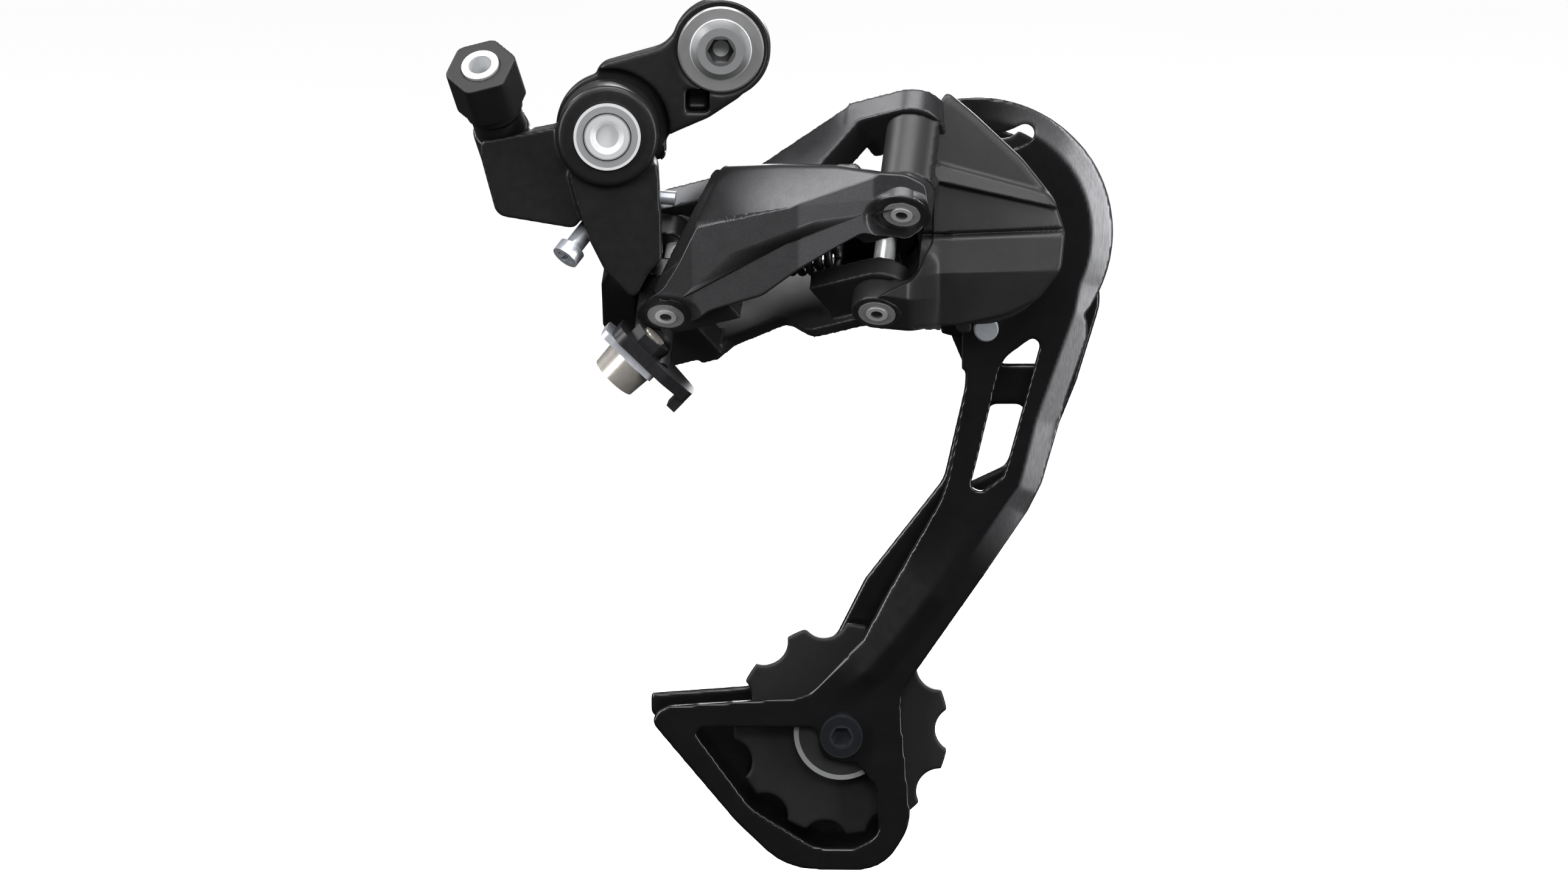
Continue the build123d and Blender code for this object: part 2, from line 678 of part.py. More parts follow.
# ---- cage pivot: axle fixed in the outer plate, bush, clip and spring ----
with BuildPart() as p_axle:
    with BuildSketch(side(plate_outer_y + plate_thickness + axle_flange_thickness)):
        with Locations((p_axis_x, p_axis_z)):
            Circle(axle_flange_r)
    extrude(amount=axle_flange_thickness)
    with BuildSketch(side(plate_outer_y + plate_thickness)):
        with Locations((p_axis_x, p_axis_z)):
            Circle(p_axle_r)
    extrude(amount=plate_outer_y + plate_thickness - p_front_y + 1.6)
    with BuildSketch(side(p_front_y - 0.3)):
        with Locations((p_axis_x, p_axis_z)):
            Circle(p_axle_r + 1)
            Circle(p_axle_r - 0.6, mode=Mode.SUBTRACT)
    extrude(amount=0.9, mode=Mode.SUBTRACT)
    with BuildSketch(side(plate_outer_y + plate_thickness + 2)):
        with Locations((p_axis_x, p_axis_z)):
            Circle(pulley_bolt_r + pin_seat_gap)
    extrude(amount=10, mode=Mode.SUBTRACT)
save(p_axle, "p_axle")

with BuildPart() as p_axle_clip:
    with BuildSketch(side(p_front_y - 0.35)):
        with Locations((p_axis_x, p_axis_z)):
            Circle(6.9)
            Circle(p_axle_r - 0.55, mode=Mode.SUBTRACT)
        with Locations((p_axis_x, p_axis_z - 6)):
            Rectangle(4, 6, mode=Mode.SUBTRACT)
    extrude(amount=0.8)
save(p_axle_clip, "p_axle_clip")

with BuildPart() as p_bush:
    with BuildSketch(side(p_back_y)):
        with Locations((p_axis_x, p_axis_z)):
            Circle(p_bush_r - pin_seat_gap)
            Circle(p_axle_r + running_clearance, mode=Mode.SUBTRACT)
    extrude(amount=p_back_y - p_front_y)
save(p_bush, "p_bush")

p_spring_r = 11.2                 # to the middle of the wire
spring_wire_r = 1.0
with BuildPart() as p_spring:
    with BuildSketch(side(p_back_y - 0.5)):
        with Locations((p_axis_x, p_axis_z)):
            Circle(p_spring_r + spring_wire_r)
            Circle(p_spring_r - spring_wire_r, mode=Mode.SUBTRACT)
    extrude(amount=9.0)
save(p_spring, "p_spring")

# ---- return spring, hooked between the rear outer pin and the front inner pin ----
spring_w = 16.2
spring_r = 4.3
spring_from = b1_at + (p2_at - b1_at).normalized() * 8.5
spring_run = (p2_at - b1_at).length - 17.0
spring_plane = Plane(link_plane.from_local_coords(Vector(spring_from.X, spring_from.Y, spring_w)),
                     x_dir=pin_lean, z_dir=link_plane.from_local_coords(p2_at) - b1_foot)
with BuildPart() as return_spring:
    with BuildSketch(spring_plane):
        Circle(spring_r)
        Circle(spring_r - 1.6, mode=Mode.SUBTRACT)
    extrude(amount=spring_run)
save(return_spring, "return_spring")

# ---- cable clamp: lever on the outer link, plate and cap bolt ----
clamp_axis = Vector(-0.69, 0.10, -0.715).normalized()
clamp_plane = Plane(origin=(-17.9, -14.0, -64.7), x_dir=(0.715, 0, -0.69), z_dir=clamp_axis)
lever_thickness = 2.6
clamp_plate_thickness = 1.6
clamp_bolt_r = 2.5
with BuildPart() as cable_lever:
    with BuildSketch(clamp_plane):
        with BuildLine():
            rounded([(-7.0, -6.4), (7.5, -6.0), (14.2, -3.0), (14.2, 3.4), (7.5, 5.6), (-7.0, 5.6)],
                    [3, 3, 1.5, 1.5, 3, 3])
        make_face()
    extrude(amount=-lever_thickness)
    with BuildSketch(clamp_plane):
        with Locations((13.1, 0)):
            Rectangle(2.2, 5.6)
    extrude(amount=3.2)
    with BuildSketch(across_pins(-9.0)):
        with BuildLine():
            rounded([(-7.0, 4.4), (1.5, 4.4), (1.5, 9.4), (-7.0, 9.4)], [1.5] * 4)
        make_face()
    extrude(amount=9.0 + 4.8)
    with BuildSketch(clamp_plane):
        Rectangle(60, 60)
    extrude(amount=9, mode=Mode.SUBTRACT)
    with BuildSketch(clamp_plane):
        with Locations((13.1, 0)):
            Rectangle(2.2, 5.6)
    extrude(amount=3.2)
    with BuildSketch(clamp_plane.offset(1)):
        Circle(clamp_bolt_r + hole_gap)
    extrude(amount=-lever_thickness - 5, mode=Mode.SUBTRACT)
    with BuildSketch(clamp_plane.offset(-lever_thickness)):
        Circle(4.6)
    extrude(amount=-4, mode=Mode.SUBTRACT)
    add(outer_link.part, mode=Mode.SUBTRACT)
save(cable_lever, "cable_lever")

with BuildPart() as cable_clamp_plate:
    with BuildSketch(clamp_plane):
        with Locations((-1.5, 0)):
            RectangleRounded(14.4, 10.0, 1.2)
        Circle(clamp_bolt_r + hole_gap, mode=Mode.SUBTRACT)
    extrude(amount=clamp_plate_thickness)
save(cable_clamp_plate, "cable_clamp_plate")

with BuildPart() as cable_bolt:
    with BuildSketch(clamp_plane.offset(-lever_thickness - 3.0)):
        Circle(clamp_bolt_r)
    extrude(amount=lever_thickness + 3.0 + clamp_plate_thickness + 1.0)
    with BuildSketch(clamp_plane.offset(clamp_plate_thickness)):
        Circle(5.6)
    extrude(amount=5.7, taper=5)
    with BuildSketch(clamp_plane.offset(clamp_plate_thickness + 5.7)):
        RegularPolygon(radius=2.5, side_count=6, major_radius=False)
    extrude(amount=-3.2, mode=Mode.SUBTRACT)
save(cable_bolt, "cable_bolt")

with BuildPart() as cable_nut:
    with BuildSketch(clamp_plane.offset(-lever_thickness)):
        RegularPolygon(radius=3.7, side_count=6, major_radius=False)
        Circle(clamp_bolt_r + pin_seat_gap, mode=Mode.SUBTRACT)
    extrude(amount=-2.6)
save(cable_nut, "cable_nut")

# ---- cage: outer plate, inner plate and the pin that stops against the housing ----
with BuildPart() as cage_outer_plate:
    with BuildSketch(side(plate_outer_y + plate_thickness)):
        with Locations((p_axis_x, p_axis_z)):
            Circle(plate_pivot_r)
        with Locations((p_axis_x - 31.5, p_axis_z)):
            Rectangle(30, 80, mode=Mode.SUBTRACT)
        with Locations((p_axis_x - 13.0, p_axis_z - 27.0)):
            Rectangle(20, 20, mode=Mode.SUBTRACT)
        with BuildLine():
            rounded([(52.4, -56), (52.8, -74), (48.6, -98), (34.9, -122.3), (30.6, -130.7),
                     (18.6, -143.4), (-11.9, -145.4), (-16.4, -148.0), (3.0, -171.4),
                     (14.0, -181.9), (35.0, -182.2), (41.4, -172.0), (38.7, -143.0),
                     (66.6, -102.6), (69.6, -96.5), (75.3, -76.1), (81.4, -58.5), (62, -50)],
                    [1, 20, 30, 20, 8, 8, 3, 2.5, 30, 16, 10, 12, 10, 12, 8, 30, 8, 4])
        make_face()
        # holes for the axle, the tension pulley's bolt and the stop pin
        with Locations((p_axis_x, p_axis_z)):
            Circle(p_axle_r + pin_seat_gap, mode=Mode.SUBTRACT)
        with Locations((tension_x, tension_z)):
            Circle(pulley_bolt_r + hole_gap, mode=Mode.SUBTRACT)
        with Locations((stop_pin_x, stop_pin_z)):
            Circle(1.8 + pin_seat_gap, mode=Mode.SUBTRACT)
    extrude(amount=plate_thickness)
    with BuildSketch(side(plate_outer_y + plate_thickness)):
        with BuildLine():
            rounded([(69.9, -62.2), (68.6, -67.0), (61.2, -94.6), (56.4, -98.0), (53.9, -97.0),
                     (55.2, -92), (60.2, -70.9), (61.6, -68.3)],
                    [1.5, 2, 3, 1, 1, 2, 2, 2])
        make_face()
        with BuildLine():
            rounded([(-5.9, -151.6), (-4.4, -150.1), (20.4, -150.3), (21.5, -157.6), (29.5, -158.4),
                     (33.6, -163.7), (34.2, -174.4), (29.0, -177.2), (20.2, -177.0), (6.1, -168.1)],
                    [1, 0.6, 2, 4, 3, 4, 3, 4, 8, 12])
        make_face()
    extrude(amount=plate_thickness, mode=Mode.SUBTRACT)
    with BuildSketch(side(plate_outer_y + plate_thickness)):
        with Locations((p_axis_x, p_axis_z)):
            SlotArc(CenterArc((0, 0), 22.3, -12, 48), 4.4)
            SlotArc(CenterArc((0, 0), 22.3, 62, 24), 4.0)
    extrude(amount=plate_thickness, mode=Mode.SUBTRACT)
save(cage_outer_plate, "cage_outer_plate")

with BuildPart() as cage_inner_plate:
    with BuildSketch(side(plate_inner_y + plate_inner_thickness)):
        with BuildLine():
            rounded([(41, -27), (55, -18), (71, -24), (80.5, -42), (82.6, -58), (77.4, -75.4),
                     (66.6, -102.6), (38.7, -143.0), (41.4, -172.0), (35.0, -182.2), (14.0, -181.9),
                     (3.0, -171.4), (-15.8, -149), (-15.8, -144.8), (6.0, -143.2), (25.0, -131.6),
                     (31.2, -119.2), (48.4, -97), (53.6, -74), (46, -56)],
                    [10, 10, 10, 12, 12, 12, 30, 10, 12, 10, 16, 30, 1, 0.5, 3, 3, 3, 8, 8, 6])
        make_face()
        with Locations((p_axis_x, p_axis_z), (tension_x, tension_z)):
            Circle(pulley_bolt_r + hole_gap, mode=Mode.SUBTRACT)
    extrude(amount=plate_inner_thickness)
    with BuildSketch(side(plate_inner_y + plate_inner_thickness)):
        with BuildLine():
            rounded([(59.0, -66.5), (72.5, -62.5), (71.5, -71.5), (60.2, -71.5)], [2, 2, 2, 2])
        make_face()
        with BuildLine():
            rounded([(58.6, -80.5), (67.0, -80.5), (62.0, -94.0), (53.5, -98.0), (52.2, -96)],
                    [2, 2, 3, 1, 1])
        make_face()
        with Locations((tension_x, tension_z)):
            SlotArc(CenterArc((0, 0), 20, 190, 82), 6)
    extrude(amount=plate_inner_thickness, mode=Mode.SUBTRACT)
save(cage_inner_plate, "cage_inner_plate")

with BuildPart() as cage_stop_pin:
    with BuildSketch(side(plate_outer_y)):
        with Locations((stop_pin_x, stop_pin_z)):
            Circle(stop_pin_r)
    extrude(amount=4.2)
    with BuildSketch(side(plate_outer_y)):
        with Locations((stop_pin_x, stop_pin_z)):
            Circle(1.8)
    extrude(amount=-plate_thickness)
    chamfer(cage_stop_pin.faces().sort_by(Axis.Y)[0].edges(), 0.3)
save(cage_stop_pin, "cage_stop_pin")


# ---- pulleys: toothed wheel on a steel bush, with a shield each side, held by a bolt ----
def pulley(place, name, phase, seat_y):
    """A toothed wheel whose valleys are circles of the chain's roller, spread evenly."""
    hub_low = seat_y + shield_thickness + face_gap
    hub_high = plate_inner_y - shield_thickness - face_gap
    with BuildPart() as wheel:
        with BuildSketch(side(pulley_y + pulley_thickness / 2)):
            with Locations(place):
                Circle(pulley_tip_r)
                with PolarLocations(pulley_tip_r + 2.1, pulley_teeth, start_angle=phase):
                    Circle(5.1, mode=Mode.SUBTRACT)
        extrude(amount=pulley_thickness)
        with BuildSketch(side(hub_high)):
            with Locations(place):
                Circle(pulley_hub_r)
        extrude(amount=hub_high - hub_low)
        with BuildSketch(side(hub_high)):
            with Locations(place):
                Circle(pulley_bush_r + running_clearance)
        extrude(amount=hub_high - hub_low, mode=Mode.SUBTRACT)
    save(wheel, name)


def pulley_fittings(place, prefix, seat_y):
    """The steel bush and the two pressed shields between the cage's plates."""
    bush_low = seat_y + shield_thickness
    bush_high = plate_inner_y - shield_thickness
    with BuildPart() as bush:
        with BuildSketch(side(bush_high)):
            with Locations(place):
                Circle(pulley_bush_r)
                Circle(pulley_bolt_r + hole_gap, mode=Mode.SUBTRACT)
        extrude(amount=bush_high - bush_low)
    save(bush, f"{prefix}_bush")
    with BuildPart() as shields:
        for y in (bush_low, plate_inner_y):
            with BuildSketch(side(y)):
                with Locations(place):
                    Circle(shield_r)
                    Circle(pulley_bolt_r + hole_gap, mode=Mode.SUBTRACT)
            extrude(amount=shield_thickness)
    save(shields, f"{prefix}_shields")


def pulley_bolt(place, name, head_y, tip_y):
    """A socket-head bolt from the face under its head to its tip."""
    inward = 1 if tip_y > head_y else -1
    with BuildPart() as bolt:
        with BuildSketch(side(head_y)):
            with Locations(place):
                Circle(pulley_bolt_r)
        extrude(amount=head_y - tip_y)
        with BuildSketch(side(head_y)):
            with Locations(place):
                Circle(pulley_head_r)
        extrude(amount=inward * pulley_head_height)
        with BuildSketch(side(head_y - inward * pulley_head_height)):
            with Locations(place):
                RegularPolygon(radius=2.0, side_count=6, major_radius=False)
        extrude(amount=-inward * 2.0, mode=Mode.SUBTRACT)
    save(bolt, name)


guide_place = (p_axis_x, p_axis_z)                    # the guide pulley shares the cage pivot's axis
tension_place = (tension_x, tension_z)
plate_inner_face = plate_outer_y + plate_thickness
guide_seat_y = plate_inner_face + axle_flange_thickness
pulley(guide_place, "guide_pulley", 12, guide_seat_y)
pulley(tension_place, "tension_pulley", 16.4 + 180 / pulley_teeth, plate_inner_face)
pulley_fittings(guide_place, "guide", guide_seat_y)
pulley_fittings(tension_place, "tension", plate_inner_face)
pulley_bolt(guide_place, "guide_bolt", plate_inner_y + plate_inner_thickness, 1.0)
pulley_bolt(tension_place, "tension_bolt", plate_outer_y, plate_inner_y + plate_inner_thickness)
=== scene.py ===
"""The looks of a rear derailleur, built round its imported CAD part. Metres, in the part's own frame."""

import json
import math

import bmesh
import bpy
import numpy as np
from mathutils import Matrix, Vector

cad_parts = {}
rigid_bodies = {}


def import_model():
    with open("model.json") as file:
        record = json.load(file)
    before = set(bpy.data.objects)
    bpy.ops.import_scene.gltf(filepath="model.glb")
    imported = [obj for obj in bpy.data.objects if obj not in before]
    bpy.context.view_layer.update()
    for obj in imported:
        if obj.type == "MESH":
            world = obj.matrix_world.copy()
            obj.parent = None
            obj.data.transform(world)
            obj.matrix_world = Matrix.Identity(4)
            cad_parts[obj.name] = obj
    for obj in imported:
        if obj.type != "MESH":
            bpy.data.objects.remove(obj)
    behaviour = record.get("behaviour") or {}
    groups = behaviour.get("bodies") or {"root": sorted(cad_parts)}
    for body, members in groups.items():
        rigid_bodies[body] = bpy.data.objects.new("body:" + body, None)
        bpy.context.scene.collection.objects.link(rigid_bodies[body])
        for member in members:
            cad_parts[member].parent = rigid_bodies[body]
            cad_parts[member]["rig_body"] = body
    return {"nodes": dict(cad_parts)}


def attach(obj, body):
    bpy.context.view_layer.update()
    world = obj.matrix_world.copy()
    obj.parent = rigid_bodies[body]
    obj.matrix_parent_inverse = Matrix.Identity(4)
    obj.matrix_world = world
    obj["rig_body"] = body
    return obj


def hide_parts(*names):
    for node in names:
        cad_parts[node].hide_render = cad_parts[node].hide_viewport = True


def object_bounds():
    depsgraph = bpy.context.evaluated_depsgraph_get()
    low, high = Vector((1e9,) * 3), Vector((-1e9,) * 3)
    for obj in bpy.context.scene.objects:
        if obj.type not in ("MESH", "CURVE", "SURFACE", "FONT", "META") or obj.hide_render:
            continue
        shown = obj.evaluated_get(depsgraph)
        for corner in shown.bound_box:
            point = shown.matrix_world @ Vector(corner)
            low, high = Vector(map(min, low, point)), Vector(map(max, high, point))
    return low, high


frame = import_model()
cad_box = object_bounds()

MM = 0.001

# ---------------------------------------------------------------- studio
# A pale floor that runs far behind the derailleur, soft boxes above and at both sides, and a long lens.
# The camera looks square on to the outboard face, from a little above.
floor_level = cad_box[0][2] - 90 * MM
floor_half = 9.0
floor_mesh = bpy.data.meshes.new("floor")
floor_mesh.from_pydata(
    [(sx * floor_half, sy * floor_half, floor_level) for sx, sy in ((-1, -1), (1, -1), (1, 1), (-1, 1))],
    [],
    [(0, 1, 2, 3)],
)
floor = bpy.data.objects.new("floor", floor_mesh)
bpy.context.scene.collection.objects.link(floor)
floor.visible_glossy = False
floor.visible_diffuse = False

sky = bpy.data.worlds.new("studio")
bpy.context.scene.world = sky
sky.use_nodes = True


class Shade:
    """One output of a shader node. Arithmetic on it adds Math nodes, and node() adds any other kind."""

    def __init__(self, tree, socket=None):
        self.tree = tree
        self.socket = socket

    def node(self, kind, settings=(), values=(), out=0):
        """Adds a node: its settings first, a ramp's stops among them, then its sockets' values or links."""
        made = self.tree.nodes.new("ShaderNode" + kind)
        for name, value in dict(settings).items():
            if name == "stops":
                made.color_ramp.interpolation = "CONSTANT"
                ramp = made.color_ramp.elements
                for place, _ in value[2:]:
                    ramp.new(place)
                for stop, (place, colour) in zip(ramp, sorted(value)):
                    stop.position = place
                    stop.color = (*colour, 1)
            else:
                setattr(made, name, value)
        for name, value in dict(values).items():
            if isinstance(value, Shade):
                self.tree.links.new(value.socket, made.inputs[name])
            else:
                made.inputs[name].default_value = value
        return Shade(self.tree, made.outputs[out] if made.outputs else None)

    def math(self, operation, *numbers, clamp=False):
        """A Math node of that operation on two or three numbers or shades."""
        return self.node("Math", {"operation": operation, "use_clamp": clamp}, enumerate(numbers))

    def __add__(self, other):
        return self.math("ADD", self, other)

    def __radd__(self, other):
        return self.math("ADD", other, self)

    def __mul__(self, other):
        return self.math("MULTIPLY", self, other)

    def __rmul__(self, other):
        return self.math("MULTIPLY", other, self)

    def held(self, low, high):
        """0 where this is at low, 1 where it is at high, and straight between."""
        return self.math("MULTIPLY_ADD", self, 1 / (high - low), -low / (high - low), clamp=True)

    def mixed(self, low_colour, high_colour):
        """low_colour where this is 0 and high_colour where it is 1."""
        ends = [c if isinstance(c, Shade) else (*c, 1) for c in (low_colour, high_colour)]
        return self.node("Mix", {"data_type": "RGBA"}, {0: self, 6: ends[0], 7: ends[1]}, out=2)

    def grain(self, size, detail=2.0):
        """Noise whose lumps are about that size, in metres, with this as the place."""
        return self.node("TexNoise", {}, {"Vector": self, "Scale": 1 / size, "Detail": detail})


air = Shade(sky.node_tree)
sky.node_tree.nodes.clear()
upward = air.node("SeparateXYZ", {}, {0: air.node("TexCoord", out="Generated")}, out="Z")
seen = air.node("LightPath", out="Is Camera Ray")
dome = seen.mixed(upward.held(-0.7, 0.9).mixed((0.03, 0.03, 0.03), (0.16, 0.16, 0.165)), (1.0, 1.0, 1.0))
air.node("OutputWorld", {}, {"Surface": air.node("Background", {}, {"Color": dome, "Strength": 1.0})})


def material(name, colour, roughness, metallic=0.0, bump=None, bump_depth=0.02 * MM, sheen=0.5, glow=0.0):
    """One finish. colour, roughness and metallic are numbers or functions of the place on the object."""
    made = bpy.data.materials.new(name)
    made.use_nodes = True
    made.node_tree.nodes.clear()
    place = Shade(made.node_tree).node("TexCoord", out="Object")
    worked = [value(place) if callable(value) else value for value in (colour, roughness, metallic)]
    values = {"Base Color": worked[0], "Roughness": worked[1], "Metallic": worked[2]}
    values["Specular IOR Level"] = sheen
    if not isinstance(worked[0], Shade):
        values["Base Color"] = (*worked[0], 1)
    if glow:
        values["Emission Color"] = values["Base Color"]
        values["Emission Strength"] = glow
    if bump:
        raised = {"Height": bump(place), "Strength": 1.0, "Distance": bump_depth}
        values["Normal"] = place.node("Bump", {}, raised)
    shell = place.node("BsdfPrincipled", {}, values)
    place.node("OutputMaterial", {}, {"Surface": shell})
    return made


def dress(piece, finish):
    """Gives a piece, or the CAD node of that name, one finish."""
    target = frame["nodes"][piece] if isinstance(piece, str) else piece
    target.data.materials.clear()
    target.data.materials.append(finish)


paper = material(
    "pale_floor", lambda p: p.grain(0.4).mixed((0.90, 0.90, 0.90), (0.93, 0.93, 0.93)), 0.9, glow=0.9
)
dress(floor, paper)


def face(thing, place, aim):
    """Puts a light or camera at place, looking at aim with its top up."""
    thing.location = place
    thing.rotation_euler = (Vector(aim) - Vector(place)).to_track_quat("-Z", "Y").to_euler()


middle = Vector((13.45 * MM, 0, -85.8 * MM))
for name, place, size, power in (
    ("overhead_box", (0.0, -0.25, 0.75), (0.7, 0.5), 9.0),
    ("left_box", (-0.65, -0.55, 0.25), (0.25, 0.7), 7.0),
    ("right_strip", (0.60, -0.35, 0.05), (0.10, 0.8), 5.0),
    ("front_box", (0.15, -1.1, 0.55), (0.5, 0.3), 6.0),
    ("facet_box", (-0.58, 0.14, 0.52), (0.35, 0.35), 4.5),
    ("back_box", (0.25, 0.95, 0.30), (0.6, 0.5), 9.0),
):
    lamp = bpy.data.lights.new(name, "AREA")
    lamp.shape = "RECTANGLE"
    lamp.size, lamp.size_y = size
    lamp.energy = power
    stand = bpy.data.objects.new(name, lamp)
    bpy.context.scene.collection.objects.link(stand)
    face(stand, place, middle)

lens = bpy.data.cameras.new("long_lens")
lens.lens = 159.3
lens.sensor_width = 36.0
camera = bpy.data.objects.new("long_lens", lens)
bpy.context.scene.collection.objects.link(camera)
face(camera, (13.45 * MM, -1.4815, 0.1489), middle)
bpy.context.scene.camera = camera
bpy.context.scene.view_settings.view_transform = "Standard"

# ---------------------------------------------------------------- hanger link and rear knuckle
# Two die-cast aluminium parts, tumbled so that no edge is sharp, and sprayed satin black.
# The link bolts to the hanger and the knuckle turns on the axle at its lower end.
casting_cell = 0.40 * MM


def even_skin(node, cell, passes, shape=None):
    """The CAD node's own surface in even cells. shape moves its points, then each pass moves every point
    halfway to the average of the points joined to it, which rounds the edges over about a cell a pass."""
    whole = bmesh.new()
    whole.from_mesh(frame["nodes"][node].data)
    bmesh.ops.remove_doubles(whole, verts=whole.verts, dist=1e-6)
    merged = bpy.data.meshes.new(node + "_merged")
    whole.to_mesh(merged)
    whole.free()
    piece = bpy.data.objects.new(node + "_skin", merged)
    bpy.context.scene.collection.objects.link(piece)
    cells = piece.modifiers.new("cells", "REMESH")
    cells.mode = "VOXEL"
    cells.voxel_size = cell
    evaluated = piece.evaluated_get(bpy.context.evaluated_depsgraph_get())
    skin = bpy.data.meshes.new_from_object(evaluated)
    piece.modifiers.clear()
    piece.data = skin
    points = np.empty(len(skin.vertices) * 3)
    skin.vertices.foreach_get("co", points)
    points = points.reshape(-1, 3)
    if shape:
        points = shape(points)
    edges = np.empty(len(skin.edges) * 2, int)
    skin.edges.foreach_get("vertices", edges)
    start, end = edges.reshape(-1, 2).T
    near = np.concatenate([start, end])
    far = np.concatenate([end, start])
    joined = np.bincount(near, minlength=len(points))[:, None]
    for _ in range(passes):
        total = np.stack([np.bincount(near, points[far, axis], len(points)) for axis in range(3)], 1)
        points = (points + total / joined) / 2
    skin.vertices.foreach_set("co", points.ravel())
    skin.polygons.foreach_set("use_smooth", np.ones(len(skin.polygons), bool))
    skin.update()
    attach(piece, frame["nodes"][node]["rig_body"])
    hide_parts(node)
    return piece


satin_black = material(
    "satin_black_casting",
    lambda p: p.grain(6 * MM).mixed((0.004, 0.004, 0.0045), (0.009, 0.009, 0.0095)),
    lambda p: 0.30 + 0.12 * p.grain(1.5 * MM, 4.0),
    bump=lambda p: p.grain(0.35 * MM, 3.0),
    bump_depth=0.012 * MM,
    sheen=0.32,
)
for node in ("bracket_link", "b_knuckle"):
    dress(even_skin(node, casting_cell, 3), satin_black)

# ---------------------------------------------------------------- outer link
# Pressed from thick sheet and sprayed a dark metallic grey. Its web faces outboard and up between two
# pivot pins, and every pin of the linkage slants the same way.
pin_along = np.array([0.115, 0.685, 0.72])
pin_along = pin_along / np.linalg.norm(pin_along)
pin_foot = np.array([-11.8, -14.0, -56.7]) * MM
pin_across = np.array([1.0, 0, 0]) - pin_along[0] * pin_along
pin_across = pin_across / np.linalg.norm(pin_across)
link_angle = math.radians(-29.7)
link_along = math.cos(link_angle) * pin_across + math.sin(link_angle) * np.cross(pin_along, pin_across)
link_outward = np.cross(link_along, pin_along)
link_span = 56.4
graphite = material(
    "graphite_metallic",
    lambda p: p.grain(0.25 * MM, 2.0).mixed((0.030, 0.030, 0.032), (0.075, 0.075, 0.078)),
    lambda p: 0.32 + 0.10 * p.grain(2 * MM, 3.0),
    0.75,
    bump=lambda p: p.grain(0.2 * MM, 2.0),
    bump_depth=0.004 * MM,
)

# ---------------------------------------------------------------- outer link's cover
# The link's outboard face is one folded sheet from lobe to lobe. It has a lit facet above its crease and a
# dark one below, and at both lobes it dishes in square to the pins, round the pin and its bush.
def closed_grid(name, rings):
    """A closed mesh from rings of points, each joined to the next, with both ends drawn to a point."""
    count = rings.shape[1]
    points = np.concatenate([rings.reshape(-1, 3), rings[0].mean(0)[None], rings[-1].mean(0)[None]])
    row = np.arange(count)
    after = np.roll(row, -1)
    steps = (np.arange(len(rings) - 1) * count)[:, None]
    walls = np.stack([steps + row, steps + after, steps + count + after, steps + count + row], -1)
    last = (len(rings) - 1) * count
    first_cap = np.stack([after, row, np.full(count, len(points) - 2)], -1)
    last_cap = np.stack([last + row, last + after, np.full(count, len(points) - 1)], -1)
    mesh = bpy.data.meshes.new(name)
    faces = walls.reshape(-1, 4).tolist() + first_cap.tolist() + last_cap.tolist()
    mesh.from_pydata(points.tolist(), [], faces)
    sides = bmesh.new()
    sides.from_mesh(mesh)
    bmesh.ops.recalc_face_normals(sides, faces=sides.faces)
    sides.to_mesh(mesh)
    sides.free()
    mesh.polygons.foreach_set("use_smooth", np.ones(len(mesh.polygons), bool))
    piece = bpy.data.objects.new(name, mesh)
    bpy.context.scene.collection.objects.link(piece)
    return piece


def along_outline(corners, count, softness):
    """Points at even steps along a closed outline, averaged over a stretch so that its corners are soft."""
    shut = np.concatenate([corners, corners[:1]])
    length = np.concatenate([[0], np.cumsum(np.linalg.norm(np.diff(shut, axis=0), axis=1))])
    steps = np.linspace(0, length[-1], count, endpoint=False)
    points = np.stack([np.interp(steps, length, shut[:, axis]) for axis in range(2)], 1)
    reach = range(-softness, softness + 1)
    return np.mean([np.roll(points, shift, axis=0) for shift in reach], axis=0)


front_ring_inboard = 12.0
upper_ring = pin_foot / MM + link_span * link_along
link_rings = [pin_foot / MM, upper_ring + front_ring_inboard * pin_along]
cover_outline = np.array([
    (0.2, -25.5), (12.6, -24.0), (24.4, -23.2), (39.0, -23.9), (43.2, -25.9), (44.2, -32.1),
    (42.7, -36.2), (39.4, -38.1), (30.0, -36.6), (23.9, -40.4), (15.5, -46.0), (8.9, -51.1),
    (-2.6, -54.8), (-6.2, -57.9), (-10.4, -59.9), (-15.1, -58.9), (-17.4, -55.9), (-16.0, -52.5),
    (-12.3, -50.0), (-9.0, -44.4), (-5.2, -36.3),
])
crease_across = np.array([-20.0, -6.2, 16.4, 32.4, 46.0])
crease_up = np.array([-41.0, -36.8, -31.5, -29.3, -29.2])
crease_depth = np.array([-18.6, -19.6, -25.6, -32.0, -33.6])
web_level = 9.4
cover_thickness = 1.8
spine = np.array([(-10.5, -54.0), (2.0, -42.0), (20.0, -34.5), (38.0, -31.0)])


def seated(across, up, depth, ring, flat=5.0, reach=8.0):
    """Turns a face square to the pins round a ring, so that the pin's end shows, and eases out to reach."""
    away = np.hypot(across - ring[0], 1.35 * (up - ring[2]))
    near = np.clip((reach - away) / (reach - flat), 0, 1)
    near = near * near * (3 - 2 * near)
    tilt = (pin_along[0] * (across - ring[0]) + pin_along[2] * (up - ring[2])) / pin_along[1]
    return depth + near * (ring[1] + 0.35 - tilt - depth)


def folded_depth(across, up):
    """The cover's outboard face: square to the web above the crease, and nearly upright below it."""
    offset_across, offset_up = across - pin_foot[0] / MM, up - pin_foot[2] / MM
    web = web_level - link_outward[0] * offset_across - link_outward[2] * offset_up
    upper = pin_foot[1] / MM + web / link_outward[1]
    fold = np.interp(across, crease_across, crease_depth)
    drop = np.interp(across, crease_across, crease_up) - up
    depth = np.where(drop < 0, np.maximum(upper, fold), fold + 0.02 * drop)
    for ring in link_rings:
        depth = seated(across, up, depth, ring)
    return depth


